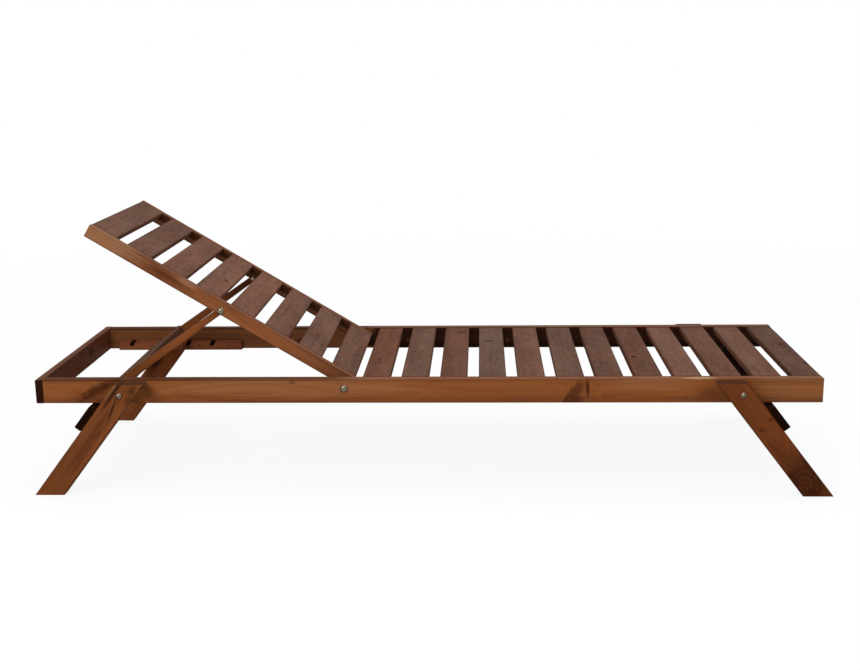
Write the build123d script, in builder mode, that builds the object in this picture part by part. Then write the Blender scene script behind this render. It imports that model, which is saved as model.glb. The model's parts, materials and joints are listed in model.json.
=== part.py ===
from build123d import *
from math import asin, atan2, cos, degrees, hypot, radians, sin, tan
import os

# Slatted wooden sun lounger with a reclining backrest and folding legs.
# X runs along the bed from head to foot, +Y is the lying person's left, Z is up from the ground.

# Slats
slat_width = 70
slat_thick = 16
slat_round = 2
slat_end_gap = 0.5
seat_slat_count = 12
seat_slat_gap = 29
back_slat_count = 8
back_slat_gap = 31

# Side rails and head board
frame_width = 622
rail_height = 62
rail_thick = 30
rail_top = 300
rail_round = 2
head_board_thick = 20

# Ledgers, the strips that carry the slats
ledger_thick = 18
back_ledger_thick = 12
seat_ledger_height = 35
seat_ledger_lead = 22
seat_ledger_setback = 5

# Backrest
back_rail_height = 33
back_rail_thick = 25
back_side_gap = 3
back_head_gap = 13
back_seat_gap = 31
back_tail = 15
back_ledger_setback = 5
back_angle = 31.3
hinge_drop = 24
hinge_edge = 10

# Prop that holds the backrest up
prop_slat_count_above = 4
prop_slat_inset = 19
prop_edge = 9
arm_width = 16
arm_rod_width = 23
arm_thick = 20
arm_pivot_edge = 7
arm_rod_edge = 12
arm_end = 7.5
arm_rod_end = 11
arm_end_round = 7
cross_board_width = 98
cross_board_from_rod = 10
rod_diameter = 10
rod_end_gap = 0.3

# Notched racks that the prop's rod rests in
rack_height = 26
rack_head_setback = 31
rack_foot_margin = 92
rod_rest_inset = 154
rod_rest_height = 15
notch_width = 13
notch_lean = 31
notch_pitch = 85
last_notch_pitch = 73

# Legs and the stretchers that tie them in pairs
leg_width = 61
leg_thick = 30
leg_tilt = 37.5
leg_inset = 204
leg_pivot_drop = 34
leg_bolt_offset = 4.5
leg_top_drop = 5
leg_round = 2.5
stretcher_width = 68
stretcher_thick = 19
stretcher_gap = 0.3

# Pivot bolts, nuts and washers
bolt_diameter = 8
prop_bolt_diameter = 6
running_clearance = 0.05
pivot_gap = 0.3
leg_head_diameter = 16
leg_head_height = 5
leg_socket_width = 5
leg_socket_depth = 3
big_head_diameter = 20
big_head_height = 6
washer_diameter = 18
washer_thick = 1.5
prop_washer_diameter = 13
cap_nut_diameter = 13
cap_nut_height = 9
prop_nut_width = 10
prop_nut_height = 5
sleeve_diameter = 11
sleeve_length = 16
sleeve_flange_diameter = 17
sleeve_flange_thick = 2

# Countersunk wood screws
screw_diameter = 4
screw_head_diameter = 8
screw_head_depth = 2.4
screw_grip = 10
screw_clearance = 0.05
screw_bolt_gap = 6
long_screw_grip = 24
seat_ledger_screw_step_count = 3
back_ledger_screw_step_count = 2
head_screw_inset = 15
stretcher_screw_inset = 18
cross_screw_inset = 22
rack_screw_foot_inset = 39

# Places worked out from the sizes above
rail_bottom = rail_top - rail_height
rail_outer = frame_width / 2
rail_inner = rail_outer - rail_thick
strip_inner = rail_inner - ledger_thick

seat_pitch = slat_width + seat_slat_gap
seat_length = seat_slat_count * slat_width + (seat_slat_count - 1) * seat_slat_gap
back_pitch = slat_width + back_slat_gap
back_reach = back_slat_count * slat_width + (back_slat_count - 1) * back_slat_gap - back_tail
rail_length = back_head_gap + back_reach + back_tail + back_seat_gap + seat_length
head_end = -rail_length / 2
foot_end = rail_length / 2
seat_start = foot_end - seat_length

hinge_x = head_end + back_head_gap + back_reach
hinge_z = rail_top - hinge_drop
back_outer = strip_inner - back_side_gap
back_inner = back_outer - back_rail_thick
back_strip_inner = back_inner - back_ledger_thick
back_low = -hinge_edge
back_high = back_rail_height - hinge_edge
back_ledger_height = back_rail_height - slat_thick

prop_slat_edge = back_reach - prop_slat_count_above * back_pitch + back_slat_gap
prop_reach = prop_slat_edge - prop_slat_inset
prop_drop = hinge_edge - prop_edge
arm_outer = back_strip_inner - washer_thick - pivot_gap
arm_inner = arm_outer - arm_thick
rod_x = head_end + rod_rest_inset
rod_z = rail_bottom + rod_rest_height

leg_pivot_x = foot_end - leg_inset
leg_pivot_z = rail_top - leg_pivot_drop
leg_inner = rail_outer + washer_thick + pivot_gap
leg_outer = leg_inner + leg_thick
leg_sin = sin(radians(leg_tilt))
leg_cos = cos(radians(leg_tilt))

bolt_hole = bolt_diameter + 2 * running_clearance
prop_bolt_hole = prop_bolt_diameter + 2 * running_clearance
rod_hole = rod_diameter + 2 * running_clearance

sides = (("right", -1), ("left", 1))
ends = (("head", -1), ("foot", 1))
from_base = (Align.CENTER, Align.CENTER, Align.MIN)
quarter_turn = 90
towards_y = {1: (-quarter_turn, 0, 0), -1: (quarter_turn, 0, 0)}
towards_x = (0, quarter_turn, 0)


def tilted_plane(x, z, angle):
    """Plane at (x, z) whose x axis dips by angle towards the foot and whose z axis is its upward normal."""
    dip = radians(angle)
    return Plane(origin=(x, 0, z), x_dir=(cos(dip), 0, -sin(dip)), z_dir=(sin(dip), 0, cos(dip)))


def plane_axis(plane):
    """Axis along a plane's x direction, for choosing the edges that run along it."""
    return Axis(plane.origin, plane.x_dir)


def block(x_range, y_range, z_range):
    """Box between pairs of limits, in the workplane of the part that is being built."""
    lows = [min(pair) for pair in (x_range, y_range, z_range)]
    highs = [max(pair) for pair in (x_range, y_range, z_range)]
    middle = [(low + high) / 2 for low, high in zip(lows, highs)]
    size = [high - low for low, high in zip(lows, highs)]
    with Locations(tuple(middle)):
        Box(*size)


def bore(places, diameter, depth):
    """Round holes of a given depth, each from its place along the place's own z direction."""
    with Locations(*places):
        Cylinder(diameter / 2, depth, align=from_base, mode=Mode.SUBTRACT)


def screws(places, length):
    """Countersunk screws, each with its head's flat face at its place and its point along the place's z."""
    with Locations(*places):
        Cylinder(screw_diameter / 2, length, align=from_base)
        Cone(screw_head_diameter / 2, screw_diameter / 2, screw_head_depth, align=from_base)


def screw_holes(places, length):
    """Holes that the same screws sit in, with a little clearance all round."""
    with Locations(*places):
        Cylinder(screw_diameter / 2 + screw_clearance, length + screw_clearance, align=from_base,
                 mode=Mode.SUBTRACT)
        Cone(screw_head_diameter / 2 + screw_clearance, screw_diameter / 2 + screw_clearance,
             screw_head_depth, align=from_base, mode=Mode.SUBTRACT)


def bolts(places, shank, length, head, head_height):
    """Dome headed bolts, each with its head's flat side at its place and its shank along the place's z."""
    dome = (head**2 / 4 + head_height**2) / (2 * head_height)
    rim = degrees(asin(1 - head_height / dome))
    with Locations(*places):
        Cylinder(shank / 2, length, align=from_base)
        Sphere(dome, arc_size1=rim, rotation=(180, 0, 0), align=from_base)


def sockets(places, width, depth, head_height):
    """Hexagon sockets in the heads of bolts at the given places."""
    for place in places:
        with BuildSketch(Plane(place).offset(-head_height)) as socket:
            RegularPolygon(width / 2, 6, major_radius=False)
        extrude(socket.sketch, amount=depth, mode=Mode.SUBTRACT)


def rings(places, outside, inside, thick):
    """Washers or plain nuts, each standing on its place along the place's z."""
    with Locations(*places):
        Cylinder(outside / 2, thick, align=from_base)
        Cylinder(inside / 2, thick, align=from_base, mode=Mode.SUBTRACT)


def save(piece, name):
    """Label a finished piece and write it."""
    piece.part.label = name
    export_step(piece.part, f"parts/{name}.step")


def outward(side, stations, y, z):
    """Places on one side at the given stations, a distance y from the middle, pointing away from it."""
    return [Location((x, side * y, z), towards_y[side]) for x in stations]


def inward(stations, y, z):
    """Places on both sides at the given stations, a distance y from the middle, pointing to it."""
    return [Location((x, side * y, z), towards_y[-side]) for x in stations for _, side in sides]


os.makedirs("parts", exist_ok=True)

# Planes of the parts that stand at an angle
back_plane = tilted_plane(hinge_x, hinge_z, back_angle)
prop_pivot = back_plane.from_local_coords((-prop_reach, 0, -prop_drop))
rod_drop = arm_rod_edge - arm_pivot_edge
prop_length = hypot(prop_pivot.X - rod_x, prop_pivot.Z - rod_z)
arm_reach = (prop_length**2 - rod_drop**2) ** 0.5
prop_dip = atan2(prop_pivot.Z - rod_z, prop_pivot.X - rod_x) - atan2(rod_drop, arm_reach)
prop_plane = tilted_plane(prop_pivot.X, prop_pivot.Z, -degrees(prop_dip))
leg_planes = {end: tilted_plane(end * leg_pivot_x, leg_pivot_z, -end * leg_tilt) for _, end in ends}

# Screw places, each list in the frame of the parts that the screws join
seat_slat_edges = [seat_start + index * seat_pitch for index in range(seat_slat_count)]
back_slat_edges = [back_tail - slat_width - index * back_pitch for index in range(back_slat_count)]
seat_ledger_bottom = rail_top - slat_thick - seat_ledger_height
strip_middle = (rail_inner + strip_inner) / 2
back_strip_middle = (back_inner + back_strip_inner) / 2
seat_screw_length = seat_ledger_height + screw_grip
back_screw_length = back_ledger_height + screw_grip
strip_screw_length = ledger_thick + screw_grip
back_strip_screw_length = back_ledger_thick + screw_grip

leg_pivots = [end * leg_pivot_x for _, end in ends]
bolt_keep_out = (sleeve_flange_diameter + screw_diameter) / 2 + screw_bolt_gap


def beside_bolts(place):
    """Place of a screw along a seat ledger, moved sideways where it would meet a leg bolt."""
    for pivot in leg_pivots:
        if abs(place - pivot) < bolt_keep_out:
            return pivot + bolt_keep_out if place > pivot else pivot - bolt_keep_out
    return place


seat_gaps = [edge + slat_width + seat_slat_gap / 2 for edge in seat_slat_edges[:-1]]
back_gaps = [edge - back_slat_gap / 2 for edge in back_slat_edges[:-1]]
seat_ledger_gaps = [beside_bolts(place) for place in seat_gaps[::seat_ledger_screw_step_count]]
back_ledger_gaps = back_gaps[::back_ledger_screw_step_count]
seat_ledger_middle = seat_ledger_bottom + seat_ledger_height / 2
back_ledger_middle = back_low + back_ledger_height / 2

rod_seats = [rod_x - notch_pitch, rod_x, rod_x + notch_pitch, rod_x + notch_pitch + last_notch_pitch]
rack_head = head_end + rack_head_setback
rack_foot = rod_seats[-1] + rack_foot_margin
rack_middle = rail_bottom + rack_height / 2
tooth_middles = [(here + there) / 2 for here, there in zip(rod_seats[1:], rod_seats[2:])]
rack_screw_x = tooth_middles + [rack_foot - rack_screw_foot_inset]

seat_slat_screws = [Location((edge + slat_width / 2, side * strip_middle, seat_ledger_bottom))
                    for edge in seat_slat_edges for _, side in sides]
back_slat_screws = [Location((edge + slat_width / 2, side * back_strip_middle, back_low))
                    for edge in back_slat_edges for _, side in sides]
head_screws = [Location((head_end - head_board_thick, side * (rail_outer - rail_thick / 2), z), towards_x)
               for _, side in sides
               for z in (rail_bottom + head_screw_inset, rail_top - head_screw_inset)]
head_screw_length = head_board_thick + long_screw_grip

# Side rails, with stepped holes for the sleeve nuts of the leg bolts
for side_name, side in sides:
    with BuildPart() as side_rail:
        block((head_end, foot_end), (side * rail_inner, side * rail_outer), (rail_bottom, rail_top))
        fillet(side_rail.edges().filter_by(Axis.X), rail_round)
        leg_holes = outward(side, leg_pivots, rail_inner, leg_pivot_z)
        bore(leg_holes, bolt_hole, rail_thick)
        bore(leg_holes, sleeve_diameter + 2 * running_clearance, sleeve_length)
        bore(leg_holes, sleeve_flange_diameter + 2 * running_clearance, sleeve_flange_thick)
        bore(outward(side, [hinge_x], rail_inner, hinge_z), bolt_hole, rail_thick)
        screw_holes(outward(side, seat_ledger_gaps, strip_inner, seat_ledger_middle), strip_screw_length)
        screw_holes(outward(side, rack_screw_x, strip_inner, rack_middle), strip_screw_length)
        screw_holes(head_screws, head_screw_length)
    save(side_rail, f"side_rail_{side_name}")

# Head board across the rail ends
with BuildPart() as head_board:
    block((head_end - head_board_thick, head_end), (-rail_outer, rail_outer), (rail_bottom, rail_top))
    fillet(head_board.edges().filter_by(Axis.Y), rail_round)
    screw_holes(head_screws, head_screw_length)
save(head_board, "head_board")

# Seat ledgers, which also carry the hinge bolts of the backrest
for side_name, side in sides:
    with BuildPart() as seat_ledger:
        block((hinge_x - seat_ledger_lead, foot_end - seat_ledger_setback),
              (side * strip_inner, side * rail_inner), (seat_ledger_bottom, rail_top - slat_thick))
        bore(outward(side, [hinge_x], strip_inner, hinge_z), bolt_hole, ledger_thick)
        screw_holes(seat_slat_screws, seat_screw_length)
        screw_holes(outward(side, seat_ledger_gaps, strip_inner, seat_ledger_middle), strip_screw_length)
    save(seat_ledger, f"seat_ledger_{side_name}")

# Seat slats, counted from the hinge to the foot end
for number, edge in enumerate(seat_slat_edges, start=1):
    with BuildPart() as seat_slat:
        block((edge, edge + slat_width), (slat_end_gap - rail_inner, rail_inner - slat_end_gap),
              (rail_top - slat_thick, rail_top))
        fillet(seat_slat.edges().filter_by(Axis.Y), slat_round)
        screw_holes(seat_slat_screws, seat_screw_length)
    save(seat_slat, f"seat_slat_{number:02d}")

# Racks with slanted notches, open at the top and leaning towards the foot end
notch_run = 2 * rack_height
lean = radians(notch_lean)
notch_rise = notch_run / 2 + (notch_width - rod_diameter) / 2
notch_middles = [(x + notch_rise * sin(lean), rod_z + notch_rise * cos(lean)) for x in rod_seats]
for side_name, side in sides:
    with BuildPart() as rack:
        block((rack_head, rack_foot), (side * strip_inner, side * rail_inner),
              (rail_bottom, rail_bottom + rack_height))
        with BuildSketch(Plane.XZ) as notches:
            with Locations(*notch_middles):
                SlotCenterToCenter(notch_run, notch_width, rotation=quarter_turn - notch_lean)
        extrude(amount=rail_outer, both=True, mode=Mode.SUBTRACT)
        screw_holes(outward(side, rack_screw_x, strip_inner, rack_middle), strip_screw_length)
    save(rack, f"notched_rack_{side_name}")

# Backrest rails
for side_name, side in sides:
    with BuildPart(back_plane) as back_rail:
        block((-back_reach, back_tail), (side * back_inner, side * back_outer), (back_low, back_high))
        fillet(back_rail.edges().filter_by(plane_axis(back_plane)), rail_round)
        bore(outward(side, [0], back_inner, 0), bolt_hole, back_rail_thick)
        bore(outward(side, [-prop_reach], back_inner, -prop_drop), prop_bolt_hole, back_rail_thick)
        screw_holes(outward(side, back_ledger_gaps, back_strip_inner, back_ledger_middle),
                    back_strip_screw_length)
    save(back_rail, f"back_rail_{side_name}")

# Backrest ledgers
for side_name, side in sides:
    with BuildPart(back_plane) as back_ledger:
        block((back_ledger_setback - back_reach, back_tail - back_ledger_setback),
              (side * back_strip_inner, side * back_inner), (back_low, back_low + back_ledger_height))
        bore(outward(side, [0], back_strip_inner, 0), bolt_hole, back_ledger_thick)
        bore(outward(side, [-prop_reach], back_strip_inner, -prop_drop), prop_bolt_hole, back_ledger_thick)
        screw_holes(back_slat_screws, back_screw_length)
        screw_holes(outward(side, back_ledger_gaps, back_strip_inner, back_ledger_middle),
                    back_strip_screw_length)
    save(back_ledger, f"back_ledger_{side_name}")

# Backrest slats, counted from the hinge to the top
for number, edge in enumerate(back_slat_edges, start=1):
    with BuildPart(back_plane) as back_slat:
        block((edge, edge + slat_width), (slat_end_gap - back_inner, back_inner - slat_end_gap),
              (back_high - slat_thick, back_high))
        fillet(back_slat.edges().filter_by(Axis.Y), slat_round)
        screw_holes(back_slat_screws, back_screw_length)
    save(back_slat, f"back_slat_{number:02d}")

# Prop arms, hung on the backrest, a little wider at the foot and drilled for the rod there
arm_side = Plane(prop_plane.origin, x_dir=prop_plane.x_dir, z_dir=(0, -1, 0))
arm_foot = -arm_reach - arm_rod_end
cross_near = cross_board_from_rod - arm_reach
cross_far = cross_near + cross_board_width
cross_middle = arm_pivot_edge - slat_thick / 2
cross_screw_x = [cross_near + cross_screw_inset, cross_far - cross_screw_inset]
cross_screw_length = arm_thick + long_screw_grip
cross_screws = inward(cross_screw_x, arm_outer, cross_middle)
for side_name, side in sides:
    with BuildPart(prop_plane) as prop_arm:
        with BuildSketch(arm_side.offset(-side * arm_inner)) as arm_outline:
            with BuildLine():
                Polyline((arm_foot, arm_pivot_edge), (arm_end, arm_pivot_edge),
                         (arm_end, arm_pivot_edge - arm_width), (arm_foot, arm_pivot_edge - arm_rod_width),
                         close=True)
            make_face()
            fillet(arm_outline.vertices(), arm_end_round)
        extrude(amount=-side * arm_thick)
        bore(outward(side, [0], arm_inner, 0), prop_bolt_hole, arm_thick)
        bore(outward(side, [-arm_reach], arm_inner, -rod_drop), rod_hole, arm_thick)
        screw_holes(cross_screws, cross_screw_length)
    save(prop_arm, f"prop_arm_{side_name}")

# Cross board between the arms, flush with their upper edges
with BuildPart(prop_plane) as prop_board:
    block((cross_near, cross_far), (-arm_inner, arm_inner), (arm_pivot_edge - slat_thick, arm_pivot_edge))
    fillet(prop_board.edges().filter_by(Axis.Y), slat_round)
    screw_holes(cross_screws, cross_screw_length)
save(prop_board, "prop_cross_board")

# Steel rod at the foot of the prop, ending just short of the racks
with BuildPart(prop_plane) as prop_rod:
    with Locations(Location((-arm_reach, 0, -rod_drop), towards_y[1])):
        Cylinder(rod_diameter / 2, 2 * (strip_inner - rod_end_gap))
save(prop_rod, "prop_rod")

# Legs, cut level at the top and at the foot
leg_half = leg_width / 2 / leg_cos
leg_middle_x = leg_pivot_x - leg_bolt_offset / leg_cos
leg_edge = leg_width / 2 - leg_bolt_offset
leg_top = rail_top - leg_top_drop
stretcher_face = leg_edge + stretcher_thick
stretcher_top = (rail_bottom - stretcher_gap - leg_pivot_z - stretcher_face * leg_sin) / leg_cos
stretcher_bottom = stretcher_top - stretcher_width
stretcher_screw_z = [stretcher_top - stretcher_screw_inset, stretcher_bottom + stretcher_screw_inset]
stretcher_screw_length = stretcher_thick + long_screw_grip


def stretcher_screws(end):
    """Places of the screws through one stretcher into the edges of its two legs, in the legs' plane."""
    turn = (0, -quarter_turn * end, 0)
    return [Location((end * stretcher_face, side * (leg_inner + leg_thick / 2), z), turn)
            for _, side in sides for z in stretcher_screw_z]


for end_name, end in ends:
    leg_foot_x = end * (leg_middle_x + leg_pivot_z * tan(radians(leg_tilt)))
    leg_top_x = end * (leg_middle_x - (leg_top - leg_pivot_z) * tan(radians(leg_tilt)))
    for side_name, side in sides:
        with BuildPart() as leg:
            with BuildSketch(Plane.XZ.offset(-side * leg_inner)) as outline:
                with BuildLine():
                    Polyline((leg_foot_x - leg_half, 0), (leg_foot_x + leg_half, 0),
                             (leg_top_x + leg_half, leg_top), (leg_top_x - leg_half, leg_top), close=True)
                make_face()
            extrude(amount=-side * leg_thick)
            along = Axis((0, 0, 0), (end * leg_sin, 0, -leg_cos))
            fillet(leg.edges().filter_by(along), leg_round)
            bore(outward(side, [end * leg_pivot_x], leg_inner, leg_pivot_z), bolt_hole, leg_thick)
            screw_places = [leg_planes[end].location * place for place in stretcher_screws(end)]
            screw_holes(screw_places, stretcher_screw_length)
        save(leg, f"leg_{end_name}_{side_name}")

    with BuildPart(leg_planes[end]) as stretcher:
        block((end * leg_edge, end * stretcher_face), (-leg_outer, leg_outer),
              (stretcher_bottom, stretcher_top))
        fillet(stretcher.edges().filter_by(Axis.Y), slat_round)
        screw_holes(stretcher_screws(end), stretcher_screw_length)
    save(stretcher, f"leg_stretcher_{end_name}")

    with BuildPart(leg_planes[end]) as stretcher_screw_set:
        screws(stretcher_screws(end), stretcher_screw_length)
    save(stretcher_screw_set, f"stretcher_screws_{end_name}")

# Leg bolts with flush sleeve nuts in the rails and a washer between leg and rail
leg_bolt_reach = leg_outer + pivot_gap - rail_inner - sleeve_flange_thick
with BuildPart() as leg_bolts:
    leg_bolt_places = inward(leg_pivots, leg_outer + pivot_gap, leg_pivot_z)
    bolts(leg_bolt_places, bolt_diameter, leg_bolt_reach, leg_head_diameter, leg_head_height)
    sockets(leg_bolt_places, leg_socket_width, leg_socket_depth, leg_head_height)
save(leg_bolts, "leg_bolts")

with BuildPart() as leg_nuts:
    for _, side in sides:
        nut_places = outward(side, leg_pivots, rail_inner, leg_pivot_z)
        rings(nut_places, sleeve_flange_diameter, bolt_hole, sleeve_flange_thick)
        rings(nut_places, sleeve_diameter, bolt_hole, sleeve_length)
save(leg_nuts, "leg_sleeve_nuts")

with BuildPart() as leg_washers:
    washer_places = inward(leg_pivots, rail_outer + washer_thick, leg_pivot_z)
    rings(washer_places, washer_diameter, bolt_hole, washer_thick)
save(leg_washers, "leg_washers")

# Backrest hinge bolts with cap nuts and spacers
hinge_bolt_reach = rail_outer - back_strip_inner + pivot_gap + cap_nut_height / 2
with BuildPart() as hinge_bolts:
    bolts(inward([hinge_x], rail_outer, hinge_z), bolt_diameter, hinge_bolt_reach,
          big_head_diameter, big_head_height)
save(hinge_bolts, "hinge_bolts")

with BuildPart() as hinge_nuts:
    nut_places = inward([hinge_x], back_strip_inner - pivot_gap, hinge_z)
    with Locations(*nut_places):
        Cylinder(cap_nut_diameter / 2, cap_nut_height, align=from_base)
    bore(nut_places, bolt_hole, cap_nut_height / 2 + running_clearance)
save(hinge_nuts, "hinge_cap_nuts")

with BuildPart() as hinge_spacers:
    rings(inward([hinge_x], strip_inner, hinge_z), washer_diameter, bolt_hole, back_side_gap - pivot_gap)
save(hinge_spacers, "hinge_spacers")

# Prop bolts through the backrest rails and ledgers, with nuts inside the arms
prop_bolt_reach = back_outer - arm_inner + pivot_gap + prop_nut_height
with BuildPart(back_plane) as prop_bolts:
    bolts(inward([-prop_reach], back_outer, -prop_drop), prop_bolt_diameter, prop_bolt_reach,
          big_head_diameter, big_head_height)
save(prop_bolts, "prop_bolts")

with BuildPart(back_plane) as prop_nuts:
    for place in inward([-prop_reach], arm_inner - pivot_gap, -prop_drop):
        with BuildSketch(back_plane * place) as nut_outline:
            RegularPolygon(prop_nut_width / 2, 6, major_radius=False)
            Circle(prop_bolt_hole / 2, mode=Mode.SUBTRACT)
        extrude(amount=prop_nut_height)
save(prop_nuts, "prop_nuts")

with BuildPart(back_plane) as prop_washers:
    washer_places = inward([-prop_reach], back_strip_inner, -prop_drop)
    rings(washer_places, prop_washer_diameter, prop_bolt_hole, washer_thick)
save(prop_washers, "prop_washers")

# Screw sets
with BuildPart() as seat_slat_screw_set:
    screws(seat_slat_screws, seat_screw_length)
save(seat_slat_screw_set, "seat_slat_screws")

with BuildPart(back_plane) as back_slat_screw_set:
    screws(back_slat_screws, back_screw_length)
save(back_slat_screw_set, "back_slat_screws")

with BuildPart() as seat_ledger_screw_set:
    for _, side in sides:
        screws(outward(side, seat_ledger_gaps, strip_inner, seat_ledger_middle), strip_screw_length)
save(seat_ledger_screw_set, "seat_ledger_screws")

with BuildPart(back_plane) as back_ledger_screw_set:
    for _, side in sides:
        screws(outward(side, back_ledger_gaps, back_strip_inner, back_ledger_middle), back_strip_screw_length)
save(back_ledger_screw_set, "back_ledger_screws")

with BuildPart() as rack_screw_set:
    for _, side in sides:
        screws(outward(side, rack_screw_x, strip_inner, rack_middle), strip_screw_length)
save(rack_screw_set, "rack_screws")

with BuildPart() as head_screw_set:
    screws(head_screws, head_screw_length)
save(head_screw_set, "head_board_screws")

with BuildPart(prop_plane) as cross_screw_set:
    screws(cross_screws, cross_screw_length)
save(cross_screw_set, "prop_board_screws")
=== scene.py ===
import json
import math
import random
from collections import namedtuple

import bpy
import numpy as np
from mathutils import Matrix, Vector


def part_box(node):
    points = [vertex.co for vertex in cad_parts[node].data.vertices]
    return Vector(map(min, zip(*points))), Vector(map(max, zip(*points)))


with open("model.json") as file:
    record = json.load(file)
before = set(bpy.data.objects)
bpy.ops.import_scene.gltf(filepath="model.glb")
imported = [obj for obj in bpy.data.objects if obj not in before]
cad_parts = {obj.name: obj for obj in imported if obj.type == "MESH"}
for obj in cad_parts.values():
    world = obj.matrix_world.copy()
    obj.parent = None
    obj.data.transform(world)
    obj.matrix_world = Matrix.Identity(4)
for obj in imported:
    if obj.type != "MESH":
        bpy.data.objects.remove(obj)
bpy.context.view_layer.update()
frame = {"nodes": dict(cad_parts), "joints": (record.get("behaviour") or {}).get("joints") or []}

nodes = frame["nodes"]
joints = {joint["name"]: joint for joint in frame["joints"]}
SIDES = ("right", "left")
ENDS = ("head", "foot")
SEAT_SLATS = [f"seat_slat_{number:02d}" for number in range(1, 13)]
BACK_SLATS = [f"back_slat_{number:02d}" for number in range(1, 9)]

# Directions of the boards
BACK_ANGLE = math.radians(31.3)
LEG_TILT = math.radians(37.5)
X, Y, Z = Vector((1, 0, 0)), Vector((0, 1, 0)), Vector((0, 0, 1))
BACK_ALONG = Vector((math.cos(BACK_ANGLE), 0, -math.sin(BACK_ANGLE)))
LEG_ALONG = {"head": Vector((-math.sin(LEG_TILT), 0, -math.cos(LEG_TILT))),
             "foot": Vector((math.sin(LEG_TILT), 0, -math.cos(LEG_TILT)))}
prop_pivot = Vector(joints["prop_hinge"]["pos_m"])
rod_low, rod_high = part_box("prop_rod")
ARM_ALONG = (prop_pivot - (rod_low + rod_high) / 2).normalized()

# Helpers for shader trees
NOISE_MIDDLE = 0.5
WHITE = (1, 1, 1, 1)


def add(tree, kind, inputs=None, **settings):
    """New shader node with its settings, and with its inputs set or linked by name or number."""
    node = tree.nodes.new("ShaderNode" + kind)
    for key, value in settings.items():
        setattr(node, key, value)
    for key, value in (inputs or {}).items():
        if isinstance(value, bpy.types.NodeSocket):
            tree.links.new(value, node.inputs[key])
        else:
            node.inputs[key].default_value = value
    return node


def calc(tree, operation, *values, clamp=False):
    """Result of a math node on sockets or numbers."""
    return add(tree, "Math", dict(enumerate(values)), operation=operation, use_clamp=clamp).outputs[0]


def vector_calc(tree, operation, *values, output="Vector"):
    """Result of a vector math node on sockets or vectors."""
    return add(tree, "VectorMath", dict(enumerate(values)), operation=operation).outputs[output]


def length(tree, vector):
    """Length of a vector."""
    return vector_calc(tree, "LENGTH", vector, output="Value")


def parts(tree, vector):
    """The three parts of a vector."""
    return add(tree, "SeparateXYZ", {0: vector}).outputs


def ramp(tree, value, low, high, to_low=0.0, to_high=1.0):
    """Smooth step of a socket between two levels."""
    return add(tree, "MapRange", {0: value, 1: low, 2: high, 3: to_low, 4: to_high},
               interpolation_type="SMOOTHSTEP").outputs[0]


def bell(tree, value, sharpness):
    """Bell curve of a socket, one at zero."""
    return calc(tree, "EXPONENT", calc(tree, "MULTIPLY", -sharpness, calc(tree, "MULTIPLY", value, value)))


def noise(tree, vector, seed, pattern, output="Fac"):
    """Noise of a pattern: seed offset, scale for each direction, detail and roughness."""
    offset, scale, detail, roughness = pattern
    return add(tree, "TexNoise", {"Vector": vector_calc(tree, "MULTIPLY", vector, scale), "W": seed + offset,
                                  "Scale": 1.0, "Detail": detail, "Roughness": roughness},
               noise_dimensions="4D").outputs[output]


def sway(tree, base, pattern, strength, middle=NOISE_MIDDLE, clamp=False):
    """Base value moved up and down by a pattern about its middle."""
    return calc(tree, "MULTIPLY_ADD", calc(tree, "SUBTRACT", pattern, middle), strength, base, clamp=clamp)


def blend(tree, factor, first, second, mode="MIX"):
    """Colour mix of sockets or colours."""
    node = add(tree, "Mix", data_type="RGBA", blend_type=mode, clamp_factor=True)
    for slot, value in ((0, factor), (6, first), (7, second)):
        if isinstance(value, bpy.types.NodeSocket):
            tree.links.new(value, node.inputs[slot])
        else:
            node.inputs[slot].default_value = value if slot == 0 else (*value, 1)
    return node.outputs[2]


def scaled(colour, share):
    """Colour made darker or lighter."""
    return tuple(share * part for part in colour)


def new_material(name):
    """New material and its empty tree."""
    material = bpy.data.materials.new(name)
    material.use_nodes = True
    material.node_tree.nodes.clear()
    return material, material.node_tree


def dress(node, material):
    """Puts a material on a CAD node."""
    nodes[node].data.materials.clear()
    nodes[node].data.materials.append(material)


# Looks of the boards: light and dark stain and the deepest tone, used for knots and painted shade; strength
# of rings, grain, blotches and mottles; painted sheen greying the upper faces; roughness; sheen
Look = namedtuple("Look", "light dark deep figure grain blotching mottling greying rough sheen")
RAIL = Look(light=(0.262, 0.086, 0.0245), dark=(0.120, 0.037, 0.011), deep=(0.036, 0.008, 0.003),
            figure=0.2, grain=0.75, blotching=0.5, mottling=0.3, greying=0.38, rough=0.55, sheen=0.02)
BACK_RAIL = RAIL._replace(greying=0.25)
# Head board drawn darker than the rails: painted shade on its inner face
HEAD_BOARD = Look(light=(0.175, 0.058, 0.024), dark=(0.085, 0.027, 0.011), deep=(0.020, 0.007, 0.004),
                  figure=0.2, grain=0.8, blotching=0.6, mottling=0.3, greying=0.4, rough=0.6, sheen=0.02)
# Ledgers drawn darker than the rails: painted shade under the slats
LEDGER = Look(light=(0.150, 0.054, 0.022), dark=(0.075, 0.026, 0.011), deep=(0.016, 0.005, 0.003),
              figure=0.2, grain=0.8, blotching=0.6, mottling=0.3, greying=0.0, rough=0.65, sheen=0.015)
RACK = Look(light=(0.250, 0.085, 0.034), dark=(0.120, 0.040, 0.017), deep=(0.020, 0.006, 0.004),
            figure=0.2, grain=0.9, blotching=0.9, mottling=0.4, greying=0.0, rough=0.6, sheen=0.02)
LEG = Look(light=(0.182, 0.055, 0.0165), dark=(0.078, 0.022, 0.0078), deep=(0.022, 0.007, 0.004),
           figure=0.2, grain=0.8, blotching=0.7, mottling=0.3, greying=0.15, rough=0.7, sheen=0.01)
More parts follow.
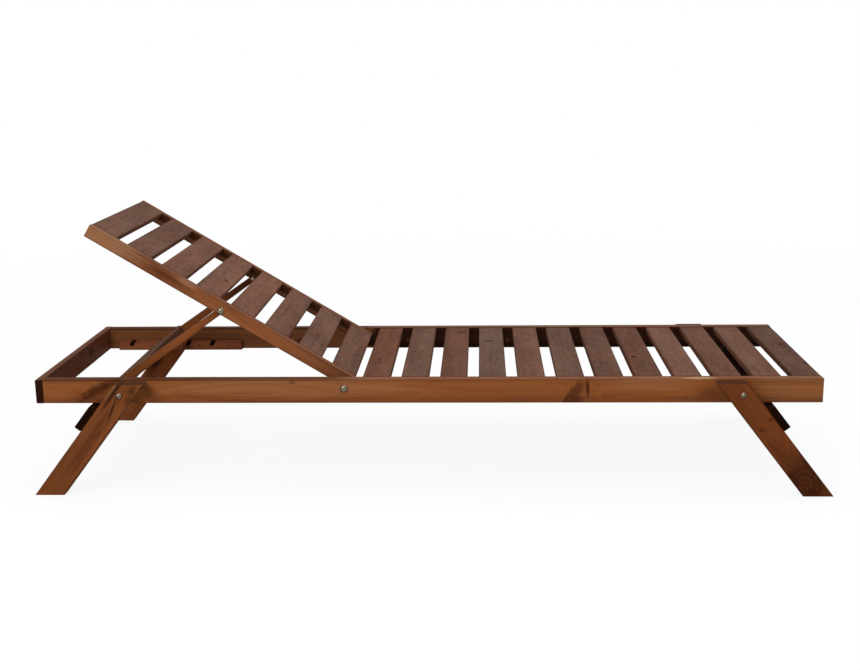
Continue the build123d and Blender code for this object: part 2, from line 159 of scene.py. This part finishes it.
# Stretchers drawn nearly black: painted shade under the rails
STRETCHER = Look(light=(0.085, 0.026, 0.009), dark=(0.040, 0.012, 0.005), deep=(0.012, 0.004, 0.003),
                 figure=0.2, grain=0.8, blotching=0.6, mottling=0.3, greying=0.0, rough=0.6, sheen=0.015)
SLAT = Look(light=(0.150, 0.062, 0.034), dark=(0.072, 0.027, 0.014), deep=(0.024, 0.010, 0.007),
            figure=0.12, grain=0.45, blotching=1.2, mottling=1.5, greying=1.0, rough=0.75, sheen=0.005)
# Painted sheen: the grey, light and dark, that faces turned up are drawn in, standing in for the top light's
# sheen
SHEEN_GREY = (0.167, 0.088, 0.061)
SHEEN_GREY_DARK = (0.069, 0.034, 0.024)
RUDDY = (1.07, 0.97, 0.92)
# Colour of worn patches and of patches of painted light
WEAR_AND_LIGHT_COLOUR = (0.42, 0.27, 0.15)

# Boards drawn in other tones than their kind; the far side rail and far prop arm are toned darker as painted
# shade
PALE_BACK_TINT = (1.22, 1.24, 1.27)
TINTS = dict.fromkeys(SEAT_SLATS, (0.94, 0.95, 0.97)) | dict.fromkeys(BACK_SLATS, (1.02, 1.04, 1.07)) | {
    "side_rail_left": (0.82, 0.95, 1.3),
    "back_rail_right": (0.94, 0.97, 1.22), "back_rail_left": (0.85, 0.9, 1.0),
    "prop_arm_left": (0.90, 0.90, 0.95), "leg_foot_right": (0.92, 0.90, 0.88),
    "leg_head_left": (1.24, 1.16, 1.16), "leg_head_right": (1.10, 1.09, 1.06),
    "seat_slat_01": (1.05, 0.92, 0.84), "seat_slat_04": (0.90, 1.02, 1.08),
    "seat_slat_09": (1.12, 1.12, 1.14), "seat_slat_12": (0.78, 0.84, 0.89),
    "back_slat_04": PALE_BACK_TINT, "back_slat_05": PALE_BACK_TINT, "back_slat_06": PALE_BACK_TINT}

# How dark a knot's middle and rim are, how soft and ragged its edge is, its own rings, and how much it
# bends and deepens the board's rings
KnotKind = namedtuple("KnotKind", "core_depth rim_depth softness raggedness ring_count bend ring_gain")
KNOT_KINDS = {
    "knot": KnotKind(0.62, 0.75, 0.35, 0.9, 0, 1.0, 0.4),
    "spike": KnotKind(0.58, 0.76, 0.25, 0.6, 0, 0.6, 0.12),
    "smudge_and_shadow": KnotKind(0.60, 0.0, 0.85, 0.9, 0, 0.2, 0),
    "streak": KnotKind(0.88, 0.0, 0.7, 0.9, 0, 0.4, 0),
    "rings": KnotKind(0.40, 0.80, 0.25, 0.30, 2, 1.0, 0.3),
    "halo": KnotKind(0.0, 0.62, 0.3, 0.4, 0, 0.3, 0),
    "heart": KnotKind(0.66, 0.0, 0.5, 0.9, 0, 0.6, 0),
    "scar": KnotKind(0.80, 0.0, 0.6, 1.7, 0, 0.3, 0),
    "shade": KnotKind(0.42, 0.0, 0.9, 1.0, 0, 0.1, 0),
}

# Knots: place along and across the board from its middle, two radii, lean in degrees and kind
KNOTS = {
    "side_rail_right": [
        (-0.347, 0.024, 0.0065, 0.0035, 0, "knot"), (0.372, -0.003, 0.033, 0.014, 57, "heart"),
        (0.366, -0.024, 0.026, 0.012, 20, "heart"), (0.402, 0.007, 0.022, 0.0048, 93, "streak"),
        (0.350, -0.018, 0.017, 0.0032, 48, "streak"), (-0.850, 0.002, 0.055, 0.0125, 28, "scar"),
        (-0.830, 0.013, 0.024, 0.007, 30, "streak"), (-0.850, 0.006, 0.032, 0.0030, 30, "streak"),
        # The marks at -0.722, -0.715 and -0.704 along are painted shadow of the near head leg on the rail,
        # and the one at 0.712 painted shadow of the near foot leg
        (-0.870, -0.012, 0.024, 0.0028, 26, "streak"), (-0.722, 0.010, 0.008, 0.009, 0, "smudge_and_shadow"),
        (-0.715, -0.003, 0.016, 0.016, 0, "smudge_and_shadow"), (-0.704, -0.022, 0.014, 0.010, 0, "shade"),
        (0.712, -0.006, 0.030, 0.016, 0, "shade")],
    "side_rail_left": [
        (0.420, 0.004, 0.016, 0.010, 20, "knot"), (-0.410, -0.010, 0.010, 0.007, 0, "knot"),
        (-0.170, 0.010, 0.030, 0.012, 15, "smudge_and_shadow")],
    "leg_foot_right": [
        (0.136, -0.006, 0.025, 0.022, 0, "rings"), (0.138, -0.004, 0.041, 0.035, 0, "halo"),
        (-0.043, -0.0113, 0.007, 0.004, 50, "smudge_and_shadow"), (-0.053, 0.0205, 0.006, 0.0035, 50, "smudge_and_shadow"),
        (0.035, -0.010, 0.040, 0.012, 8, "shade"), (0.120, 0.006, 0.070, 0.040, 0, "shade"),
        (0.114, 0.027, 0.045, 0.010, 0, "heart"), (0.112, -0.022, 0.026, 0.010, 0, "heart"),
        (0.170, -0.012, 0.015, 0.024, 0, "heart"), (0.150, 0.020, 0.020, 0.010, 0, "smudge_and_shadow")],
    "leg_head_right": [
        (-0.146, -0.019, 0.050, 0.0042, 2, "streak"), (-0.104, 0.003, 0.034, 0.0026, 15, "streak"),
        (-0.031, 0.0096, 0.012, 0.0028, 0, "smudge_and_shadow"), (-0.178, 0.016, 0.014, 0.008, 10, "smudge_and_shadow"),
        (-0.152, 0.022, 0.016, 0.007, 0, "smudge_and_shadow"), (0.010, 0.002, 0.090, 0.011, 0, "shade")],
    "leg_head_left": [
        (-0.055, -0.020, 0.060, 0.012, 5, "streak"), (0.020, 0.004, 0.014, 0.010, 0, "knot")],
    "leg_foot_left": [(0.060, 0.010, 0.010, 0.008, 0, "knot")],
    "seat_slat_12": [(0.059, 0.012, 0.020, 0.007, 10, "smudge_and_shadow"), (-0.154, 0.030, 0.012, 0.008, 0, "spike")],
    "seat_slat_03": [(0.215, 0.014, 0.012, 0.014, 0, "smudge_and_shadow")],
    "seat_slat_04": [(0.106, -0.004, 0.008, 0.014, 0, "smudge_and_shadow")],
    "seat_slat_08": [(-0.080, -0.014, 0.009, 0.006, 0, "knot")],
    "back_slat_05": [(-0.060, 0.012, 0.008, 0.006, 0, "knot")],
    "head_board": [(0.090, 0.006, 0.016, 0.011, 0, "knot")],
    "back_rail_right": [
        (-0.162, 0.001, 0.048, 0.009, -4, "smudge_and_shadow"), (-0.190, 0.000, 0.060, 0.016, 0, "shade")],
    "notched_rack_left": [(0.020, -0.004, 0.012, 0.008, 0, "smudge_and_shadow")],
}

# Paler patches: on side_rail_right a small worn chip and three broad, weak patches of painted light;
# elsewhere paler wood. Middle and reach in the board's own directions, and strength. THROUGH reaches past a
# board's width and thickness
THROUGH = 0.1
WEAR_AND_LIGHT_PATCHES = {
    "side_rail_right": [
        ((0.682, 0.031, 0.006), (0.046, 0.004, 0.012), 0.62),
        # Painted light: the next three broad, weak patches lighten parts of the near rail
        ((-0.36, 0.010, 0), (0.36, 0.030, THROUGH), 0.09),
        ((0.565, 0.018, 0), (0.12, 0.018, THROUGH), 0.08),
        ((0.93, 0.008, 0), (0.14, 0.040, THROUGH), 0.07)],
    "leg_head_right": [((-0.150, -0.029, 0), (0.034, 0.006, THROUGH), 0.10)],
    "back_rail_right": [
        ((-0.345, 0.004, 0), (0.130, 0.030, THROUGH), 0.19),
        ((-0.103, 0.012, 0), (0.036, 0.006, THROUGH), 0.20)],
}

# Painted shade where shade falls: the rails' inner faces and notches, the backrest's shadow on the rails'
# tops, the seat slats' undersides and far ends, the ledgers, the stretchers' tops, the legs' and one rail's
# lower edges and the top of one prop arm; also one foot drawn darker. Each gives its middle in metres along
# and in shares of the half width and half thickness, then reach, softness along and across, and strength.
# SKIN keeps to one face, WHOLE is a board's length
SKIN = 0.001
WHOLE = 1.0
SHARP = (0.004, 0.004)
NOTCH_PLACES = (-0.921, -0.836, -0.751, -0.678)
NOTCH_SHIFT = 0.003
SLAT_END = 0.281
# Painted shade under the seat slats, and in the gap at their far ends
SHADE_AND_STAINS = {node: [((0, 0, 1), (0.4, THROUGH, SKIN), (0.012, 0.012), 0.5),
                 ((SLAT_END, 0, 0), (0.009, THROUGH, THROUGH), SHARP, 0.6)] for node in SEAT_SLATS}
for side, inner in zip(SIDES, (-1, 1)):
    # Painted shade on the rails' inner faces between the slats, and the backrest's painted shadow on their
    # tops
    SHADE_AND_STAINS[f"side_rail_{side}"] = [
        ((0.41, 0, inner), (0.585, THROUGH, SKIN), (0.03, 0.004), 0.97),
        ((-0.66, 1, 0), (0.40, SKIN, THROUGH), (0.12, 0.004), 0.7)]
    # Painted shade in the notches
    SHADE_AND_STAINS[f"side_rail_{side}"] += [
        ((place + NOTCH_SHIFT, -0.42, inner), (0.006, 0.008, 0.002), (0.005, 0.005), 0.92)
        for place in NOTCH_PLACES]
    # Painted shade on the back rails' inner faces
    SHADE_AND_STAINS[f"back_rail_{side}"] = [((0, 0, inner), (WHOLE, THROUGH, SKIN), SHARP, 0.75)]
    # Painted shade on the seat ledgers, under the slats
    SHADE_AND_STAINS[f"seat_ledger_{side}"] = [
        ((0, 1, 0), (WHOLE, SKIN, THROUGH), SHARP, 0.85),
        ((0, -1, 0), (WHOLE, 0.004, THROUGH), (0.010, 0.010), 0.75),
        ((0, 0, 0), (WHOLE, THROUGH, THROUGH), SHARP, 0.88)]
    # Painted shade on the back ledgers' tops
    SHADE_AND_STAINS[f"back_ledger_{side}"] = [((0, 1, 0), (WHOLE, SKIN, THROUGH), SHARP, 0.8)]
    for end, lower in zip(ENDS, (1, -1)):
        # Painted shade on the legs' lower long edges
        SHADE_AND_STAINS[f"leg_{end}_{side}"] = [((0, lower, 0), (0.4, SKIN, THROUGH), (0.003, 0.003), 0.25)]
for end in ENDS:
    # Painted shade on the stretchers' tops, under the rails
    SHADE_AND_STAINS[f"leg_stretcher_{end}"] = [((0, -1, 0), (0.5, SKIN, THROUGH), SHARP, 0.85)]
# Painted shade along the near rail's lower edge
SHADE_AND_STAINS["side_rail_right"].append(((0, -1, 0), (1.2, 0.006, THROUGH), (0.010, 0.022), 0.3))
SHADE_AND_STAINS["leg_foot_right"].append(((0.17, 0, 0), (0.03, THROUGH, THROUGH), (0.09, 0.003), 0.36))
# Painted shade at the top of the far prop arm, under the slats
SHADE_AND_STAINS["prop_arm_left"] = [((0.16, 0, 0), (0.05, THROUGH, THROUGH), (0.05, 0.004), 0.6)]
DARKENING_WANDER = 0.006

# Noises of the wood in board coordinates: seed offset, scale for each direction, detail and roughness
WANDER = (0.5, (1.1, 6, 6), 3, 0.5)
FIBRE = (3, (7, 420, 420), 3, 0.6)
BANDS = (7, (1.3, 75, 75), 3, 0.55)
BLOTCH = (11, (4, 14, 14), 3, 0.5)
PORES = (15, (35, 900, 900), 2, 0.7)
MOTTLE = (19, (38, 90, 90), 5, 0.72)
RUDDY_PATCH = (23, (9, 22, 22), 3, 0.5)
KNOT_EDGE = (31, (55, 110, 110), 3, 0.6)

# Noises of the steel in the node's coordinates
SCUFF = (3, (900, 900, 250), 3, 0.6)
DULL_PATCH = (9, (60, 60, 60), 2, 0.5)

# Growth rings: pitch and drift, the pith's place beside the board, and the dark late wood's rise, fall and
# middle level
RING_PITCH = 0.0048
RING_DRIFT = 0.035
PITH_ACROSS = 0.7
PITH_DEPTH = (0.04, 0.10)
RING_RISE, RING_FALL = (0.2, 0.86), 0.92
LATE_MIDDLE = 0.35

# Knots: how far they bend the rings and go through a board, and the shapes of rims, rings and surroundings
KNOT_BEND = 0.022
KNOT_THROUGH = 50
RIM_SHARPNESS = 22
NEAR_SHARPNESS = 0.35
KNOT_RING_RISE, KNOT_RING_FALL = (0.3, 0.85), 0.9
KNOT_RING_EDGE = (1.1, 0.9)
KNOT_RING_DEPTH = 0.6

# Levels between which a face counts as end grain, as turned up, and as lying level; painted sheen on level
# end grain; the sheen left in the backrest's painted shadow on the rails, and where along the rails it ends
END_FACING = (0.5, 0.9)
UPWARD = (0.55, 0.82)
LEVEL = (0.8, 0.97)
END_SHEEN_DEPTH = 0.6
SHEEN_IN_BACKREST_SHADOW = 0.15
RAIL_BACKREST_SHADOW_END = (-0.30, -0.16)

# Mixing of the stain, the painted shade on the arrises, worn and painted-light patches and end grain
MEAN_SHADE = 0.45
FIBRE_SHARE, PORE_SHARE = 0.75, 0.35
RUDDY_FROM = (0.4, 0.66)
ARRIS_WIDE, ARRIS_THICK, ARRIS_EDGE, ARRIS_DEPTH = 0.0055, 0.0045, 0.0005, 0.3
WEAR_AND_LIGHT_FRAY = 1.6
WEAR_AND_LIGHT_EDGE = (1.1, 0.6)
END_LIGHT, END_DARK = 0.30, 0.14
END_RINGS, END_PORES = 0.5, 0.5

# Relief and roughness
FIBRE_ROUGHNESS, END_ROUGHNESS = 0.3, 0.25
FIBRE_RELIEF, PORE_RELIEF, LATE_RELIEF = 0.6, 0.4, 0.25
WOOD_BUMP = {"Strength": 0.5, "Distance": 0.0006}
STEEL_BUMP = {"Strength": 0.15, "Distance": 0.0002}
SCUFF_ROUGHNESS, PATCH_ROUGHNESS, PATCH_SHADE = 0.12, 0.08, 0.6

# Each board's own draw
TINT_SEED = 1000
BLUE_SHIFT = 1.5
SEED_STEP, SEED_START = 7, 3


# Stained softwood

def board_frame(node, along, wide):
    """Centre, half sizes and turn of a board whose grain runs along one direction."""
    thick = along.cross(wide)
    turn = Matrix((along, wide, thick)).transposed()
    points = np.array([vertex.co for vertex in nodes[node].data.vertices]) @ np.array(turn)
    low, high = points.min(0), points.max(0)
    return turn @ Vector((low + high) / 2), Vector((high - low) / 2), turn


def late_wood(tree, turns, rise, fall):
    """Dark late wood of rings counted by their turns: it deepens slowly and ends at once."""
    turn = calc(tree, "FRACT", turns)
    return calc(tree, "MULTIPLY", ramp(tree, turn, *rise), ramp(tree, turn, 1.0, fall))


def knot_shape(tree, vector, seed, knot):
    """Dark mask and closeness of one knot, dark patch or painted shadow, an oval on the board's wide face."""
    along, across, long_radius, short_radius, lean, name = knot
    kind = KNOT_KINDS[name]
    place = add(tree, "Mapping", {"Vector": vector, "Location": (along, across, 0),
                                  "Rotation": (0, 0, math.radians(lean)),
                                  "Scale": (long_radius, short_radius, KNOT_THROUGH)}, vector_type="TEXTURE")
    reach = sway(tree, length(tree, place.outputs[0]), noise(tree, vector, seed, KNOT_EDGE), kind.raggedness)
    core = ramp(tree, reach, 1.0 + kind.softness, 1.0 - kind.softness, 0.0, kind.core_depth)
    rim = bell(tree, calc(tree, "SUBTRACT", reach, 1.0), RIM_SHARPNESS)
    mask = calc(tree, "MAXIMUM", core, calc(tree, "MULTIPLY", rim, kind.rim_depth), clamp=True)
    if kind.ring_count:
        ring = late_wood(tree, calc(tree, "MULTIPLY", reach, kind.ring_count), KNOT_RING_RISE, KNOT_RING_FALL)
        inside = ramp(tree, reach, *KNOT_RING_EDGE, 0.0, KNOT_RING_DEPTH)
        mask = calc(tree, "MAXIMUM", mask, calc(tree, "MULTIPLY", ring, inside))
    return mask, bell(tree, reach, NEAR_SHARPNESS)


def rings_and_knots(tree, spot, half, seed, figure, knots):
    """Late wood of rings round a pith beside the board, bent by noise and knots; its depth; knots' mask."""
    chance = random.Random(seed)
    pith = (0, chance.uniform(-PITH_ACROSS, PITH_ACROSS) * half.y, -chance.uniform(*PITH_DEPTH))
    drift = vector_calc(tree, "SUBTRACT", noise(tree, spot, seed, WANDER, "Color"), (NOISE_MIDDLE,) * 3)
    drift = vector_calc(tree, "MULTIPLY", drift, (0, RING_DRIFT, RING_DRIFT))
    section = vector_calc(tree, "MULTIPLY", vector_calc(tree, "SUBTRACT", spot, pith), (0, 1, 1))
    radius = length(tree, vector_calc(tree, "ADD", section, drift))
    mask, depth = None, figure
    for index, knot in enumerate(knots):
        kind = KNOT_KINDS[knot[-1]]
        dark, near = knot_shape(tree, spot, seed + index, knot)
        radius = calc(tree, "MULTIPLY_ADD", near, KNOT_BEND * kind.bend, radius)
        mask = dark if mask is None else calc(tree, "MAXIMUM", mask, dark)
        if kind.ring_gain:
            depth = calc(tree, "MULTIPLY_ADD", near, kind.ring_gain, depth)
    return late_wood(tree, calc(tree, "DIVIDE", radius, RING_PITCH), RING_RISE, RING_FALL), depth, mask


def shade_and_stain_shape(tree, vector, half, ragged, darkening):
    """Mask of one darkening, mostly painted shade, a soft box whose middle is in shares of the board's width
    and thickness.
    """
    (along, across, through), reach, (end_softness, softness), strength = darkening
    middle = (along, across * half.y, through * half.z)
    off = vector_calc(tree, "ABSOLUTE", vector_calc(tree, "SUBTRACT", vector, middle))
    past = parts(tree, vector_calc(tree, "SUBTRACT", off, reach))
    past_end = calc(tree, "MULTIPLY", past[0], softness / end_softness)
    outside = calc(tree, "MAXIMUM", past_end, calc(tree, "MAXIMUM", past[1], past[2]))
    return ramp(tree, calc(tree, "ADD", outside, ragged), softness, 0.0, 0.0, strength)


def arris_shade_shape(tree, spot, half, ragged):
    """Mask of painted shade along the long edges of a board."""
    off = parts(tree, vector_calc(tree, "ABSOLUTE", spot))
    near_wide = ramp(tree, calc(tree, "ADD", off[1], ragged), half.y - ARRIS_WIDE, half.y - ARRIS_EDGE)
    near_thick = ramp(tree, calc(tree, "ADD", off[2], ragged), half.z - ARRIS_THICK, half.z - ARRIS_EDGE)
    return calc(tree, "MULTIPLY", calc(tree, "MULTIPLY", near_wide, near_thick), ARRIS_DEPTH)


def wear_and_light_shape(tree, spot, fibre, middle, size, strength):
    """Mask of one paler patch, worn wood, painted light or paler wood, frayed along the fibres."""
    patch = add(tree, "Mapping", {"Vector": spot, "Location": middle, "Scale": size}, vector_type="TEXTURE")
    reach = sway(tree, length(tree, patch.outputs[0]), fibre, WEAR_AND_LIGHT_FRAY)
    return ramp(tree, reach, *WEAR_AND_LIGHT_EDGE, 0.0, strength)


def wood(node, along, wide, look, tint, seed, backrest_shadow_end=None):
    """Gives a board its stained wood: growth rings, fibres, knots, painted sheen on upper faces, painted
    shade and light, and dark end grain.
    """
    light, dark, deep, sheen_light, sheen_dark = (
        tuple(part * share for part, share in zip(colour, tint))
        for colour in (look.light, look.dark, look.deep, SHEEN_GREY, SHEEN_GREY_DARK))
    centre, half, turn = board_frame(node, along, wide)
    material, tree = new_material(f"wood_{node}")
    place = add(tree, "TexCoord").outputs
    spot = add(tree, "Mapping", {"Vector": place["Object"], "Location": centre,
                                 "Rotation": turn.to_euler("XYZ")}, vector_type="TEXTURE").outputs[0]
    facing = vector_calc(tree, "DOT_PRODUCT", place["Normal"], along, output="Value")
    end = ramp(tree, calc(tree, "ABSOLUTE", facing), *END_FACING)
    rise = parts(tree, place["Normal"])[2]
    # Painted sheen: faces turned up are drawn grey, as if catching the top light
    upward = ramp(tree, rise, *UPWARD, 0.0, look.greying)
    # Painted shadow of the backrest: on the rails' tops the painted sheen fades towards the head
    if backrest_shadow_end is not None:
        backrest_shade = ramp(tree, parts(tree, spot)[0], *backrest_shadow_end, SHEEN_IN_BACKREST_SHADOW, 1.0)
        upward = calc(tree, "MULTIPLY", upward, backrest_shade)

    # Rings, fibres, broad bands, blotches and mottles where the stain took
    late, ring_depth, knot_mask = rings_and_knots(tree, spot, half, seed, look.figure, KNOTS.get(node, ()))
    fibre, bands, blotch, pores, mottle = (noise(tree, spot, seed, pattern)
                                           for pattern in (FIBRE, BANDS, BLOTCH, PORES, MOTTLE))
    shade = MEAN_SHADE
    for pattern, strength in ((bands, look.grain), (fibre, FIBRE_SHARE * look.grain),
                              (blotch, look.blotching), (pores, PORE_SHARE * look.grain),
                              (mottle, look.mottling)):
        shade = sway(tree, shade, pattern, strength)
    shade = sway(tree, shade, late, ring_depth, LATE_MIDDLE, clamp=True)
    # Painted sheen: the grey colour of the upper faces, with ruddy patches in it
    sheened = blend(tree, shade, sheen_light, sheen_dark)
    patches = ramp(tree, noise(tree, spot, seed, RUDDY_PATCH), *RUDDY_FROM)
    sheened = blend(tree, patches, sheened, blend(tree, 1.0, sheened, RUDDY, "MULTIPLY"))
    colour = blend(tree, upward, blend(tree, shade, light, dark), sheened)
    if knot_mask is not None:
        colour = blend(tree, knot_mask, colour, deep)

    # Painted shade and one darker foot, painted shade along the arrises, worn patches and patches of painted
    # light, and end grain that drinks the stain
    ragged = calc(tree, "MULTIPLY", calc(tree, "SUBTRACT", blotch, NOISE_MIDDLE), DARKENING_WANDER)
    for darkening in SHADE_AND_STAINS.get(node, ()):
        colour = blend(tree, shade_and_stain_shape(tree, spot, half, ragged, darkening), colour, deep)
    colour = blend(tree, arris_shade_shape(tree, spot, half, ragged), colour, deep)
    for patch in WEAR_AND_LIGHT_PATCHES.get(node, ()):
        colour = blend(tree, wear_and_light_shape(tree, spot, fibre, *patch), colour, WEAR_AND_LIGHT_COLOUR)
    end_rings = calc(tree, "MULTIPLY_ADD", late, END_RINGS, calc(tree, "MULTIPLY", pores, END_PORES))
    end_colour = blend(tree, end_rings, scaled(dark, END_LIGHT), scaled(dark, END_DARK))
    # Painted sheen on end grain that lies level, such as the tops of the legs
    end_colour = blend(tree, ramp(tree, rise, *LEVEL, 0.0, END_SHEEN_DEPTH), end_colour, sheen_dark)
    colour = blend(tree, end, colour, end_colour)

    roughness = sway(tree, look.rough, fibre, FIBRE_ROUGHNESS)
    roughness = calc(tree, "MULTIPLY_ADD", end, END_ROUGHNESS, roughness, clamp=True)
    height = calc(tree, "MULTIPLY_ADD", fibre, FIBRE_RELIEF, calc(tree, "MULTIPLY", pores, PORE_RELIEF))
    height = calc(tree, "MULTIPLY_ADD", late, LATE_RELIEF, height)
    bump = add(tree, "Bump", {**WOOD_BUMP, "Height": height})
    shader = add(tree, "BsdfPrincipled", {"Base Color": colour, "Roughness": roughness,
                                          "Normal": bump.outputs[0], "Specular IOR Level": look.sheen})
    add(tree, "OutputMaterial", {"Surface": shader.outputs[0]})
    dress(node, material)


def own_tint(seed, spread, base):
    """Tint of one board, a little lighter or darker and redder or greyer than the next."""
    chance = random.Random(TINT_SEED + seed)
    level = 1 + chance.uniform(-spread, spread)
    warm = chance.uniform(-spread, spread)
    return (base[0] * level, base[1] * level * (1 - warm), base[2] * level * (1 - BLUE_SHIFT * warm))


# Boards: directions along the grain and across the wide face, look, and spread of the tint
boards = []
for side in SIDES:
    boards += [(f"side_rail_{side}", X, Z, RAIL, 0.04), (f"seat_ledger_{side}", X, Z, LEDGER, 0.1),
               (f"notched_rack_{side}", X, Z, RACK, 0.08),
               (f"back_rail_{side}", BACK_ALONG, BACK_ALONG.cross(Y), BACK_RAIL, 0.05),
               (f"back_ledger_{side}", BACK_ALONG, BACK_ALONG.cross(Y), LEDGER, 0.1),
               (f"prop_arm_{side}", ARM_ALONG, ARM_ALONG.cross(Y), RAIL, 0.06)]
    boards += [(f"leg_{end}_{side}", LEG_ALONG[end], LEG_ALONG[end].cross(Y), LEG, 0.08) for end in ENDS]
boards += [(f"leg_stretcher_{end}", Y, LEG_ALONG[end], STRETCHER, 0.08) for end in ENDS]
boards += [("head_board", Y, Z, HEAD_BOARD, 0.05), ("prop_cross_board", Y, ARM_ALONG, SLAT, 0.05)]
boards += [(node, Y, X, SLAT, 0.08) for node in SEAT_SLATS]
boards += [(node, Y, BACK_ALONG, SLAT, 0.06) for node in BACK_SLATS]
for index, (node, along, wide, look, spread) in enumerate(boards):
    tint = own_tint(index, spread, TINTS.get(node, (1, 1, 1)))
    backrest_shadow_end = RAIL_BACKREST_SHADOW_END if node.startswith("side_rail") else None
    wood(node, along, wide, look, tint, SEED_STEP * index + SEED_START, backrest_shadow_end)


# Steel

def steel(name, colour, edge, rough):
    """Plated steel with fine scuffs and slightly dull patches, and its colour at a glancing angle."""
    material, tree = new_material(name)
    spot = add(tree, "TexCoord").outputs["Object"]
    scuff = noise(tree, spot, 0, SCUFF)
    patch = noise(tree, spot, 0, DULL_PATCH)
    shade = blend(tree, patch, colour, scaled(colour, PATCH_SHADE))
    roughness = sway(tree, rough, scuff, SCUFF_ROUGHNESS)
    roughness = sway(tree, roughness, patch, PATCH_ROUGHNESS, clamp=True)
    bump = add(tree, "Bump", {**STEEL_BUMP, "Height": scuff})
    shader = add(tree, "BsdfPrincipled", {"Base Color": shade, "Metallic": 1.0, "Roughness": roughness,
                                          "Specular Tint": (*edge, 1), "Normal": bump.outputs[0]})
    add(tree, "OutputMaterial", {"Surface": shader.outputs[0]})
    return material


bright = steel("bright_steel", (0.22, 0.172, 0.125), (0.04, 0.03, 0.02), 0.05)
browned = steel("browned_steel", (0.12, 0.048, 0.022), (0.4, 0.2, 0.1), 0.5)
stained = steel("stained_steel", (0.30, 0.10, 0.038), (0.4, 0.2, 0.1), 0.5)
wooden = {node for node, *_ in boards}
for node in nodes:
    if node not in wooden:
        dress(node, stained if node == "prop_board_screws" else browned if "screws" in node else bright)


# Floor, light and camera

def background_rays(tree):
    """One for the rays that see a white background: the camera's, reflected ones and those through glass."""
    paths = add(tree, "LightPath").outputs
    seen = calc(tree, "MAXIMUM", paths["Is Glossy Ray"], paths["Is Transmission Ray"])
    return calc(tree, "MAXIMUM", paths["Is Camera Ray"], seen)


# The floor's paint keeps the shadow, under a white veil that is full far from the object
FLOOR_SIZE, FLOOR_DROP, FLOOR_TONE = 60, 0.0005, 0.92
VEIL_FROM, VEIL_NEAR = (1.6, 4.5), 0.88
bpy.ops.mesh.primitive_plane_add(size=FLOOR_SIZE, location=(0, 0, -FLOOR_DROP))
floor = bpy.context.object
floor.name = "floor"
floor_paint, tree = new_material("floor_paint")
away = length(tree, add(tree, "TexCoord").outputs["Object"])
cover = calc(tree, "MULTIPLY", background_rays(tree), ramp(tree, away, *VEIL_FROM, VEIL_NEAR, 1.0))
plain = add(tree, "BsdfDiffuse", {"Color": (FLOOR_TONE, FLOOR_TONE, FLOOR_TONE, 1)})
white = add(tree, "Emission", {"Color": WHITE, "Strength": 1.0})
veil = add(tree, "MixShader", {0: cover, 1: plain.outputs[0], 2: white.outputs[0]})
add(tree, "OutputMaterial", {"Surface": veil.outputs[0]})
floor.data.materials.append(floor_paint)

# White behind everything, and a softer glow as light
GLOW = 0.62
world = bpy.data.worlds.new("studio")
bpy.context.scene.world = world
world.use_nodes = True
tree = world.node_tree
tree.nodes.clear()
glow = add(tree, "Background", {"Color": WHITE, "Strength": GLOW})
white = add(tree, "Background", {"Color": WHITE, "Strength": 1.0})
mixed = add(tree, "MixShader", {0: background_rays(tree), 1: glow.outputs[0], 2: white.outputs[0]})
add(tree, "OutputWorld", {"Surface": mixed.outputs[0]})


def lamp(name, place, aim, size, power):
    """Soft square lamp aimed at a point."""
    data = bpy.data.lights.new(name, "AREA")
    data.shape = "SQUARE"
    data.size = size
    data.energy = power
    item = bpy.data.objects.new(name, data)
    item.location = place
    item.rotation_euler = (Vector(aim) - Vector(place)).to_track_quat("-Z", "Y").to_euler()
    bpy.context.scene.collection.objects.link(item)


BED_MIDDLE = (0, 0, 0.3)
lamp("key", place=(-1.6, -3.2, 3.0), aim=BED_MIDDLE, size=2.4, power=85)
lamp("top", place=(0.6, 0.3, 3.6), aim=BED_MIDDLE, size=2.6, power=55)

# Camera worked out from the photo's straight edges
CAMERA_PLACE = Vector((0.1346, -3.3256, 1.1183))
YAW, PITCH, ROLL = -0.0426, 0.2289, 0.0130
FOCAL_PIXELS, IMAGE_WIDTH = 1235, 860
SENSOR_WIDTH = 36
ahead = Vector((math.sin(YAW) * math.cos(PITCH), math.cos(YAW) * math.cos(PITCH), -math.sin(PITCH)))
level = Vector((math.cos(YAW), -math.sin(YAW), 0))
below = ahead.cross(level)
right = math.cos(ROLL) * level + math.sin(ROLL) * below
down = math.cos(ROLL) * below - math.sin(ROLL) * level
camera_data = bpy.data.cameras.new("camera")
camera_data.sensor_fit = "HORIZONTAL"
camera_data.sensor_width = SENSOR_WIDTH
camera_data.lens = SENSOR_WIDTH * FOCAL_PIXELS / IMAGE_WIDTH
camera = bpy.data.objects.new("camera", camera_data)
camera.matrix_world = Matrix.Translation(CAMERA_PLACE) @ Matrix((right, -down, -ahead)).transposed().to_4x4()
bpy.context.scene.collection.objects.link(camera)
bpy.context.scene.camera = camera
bpy.context.scene.view_settings.view_transform = "Standard"
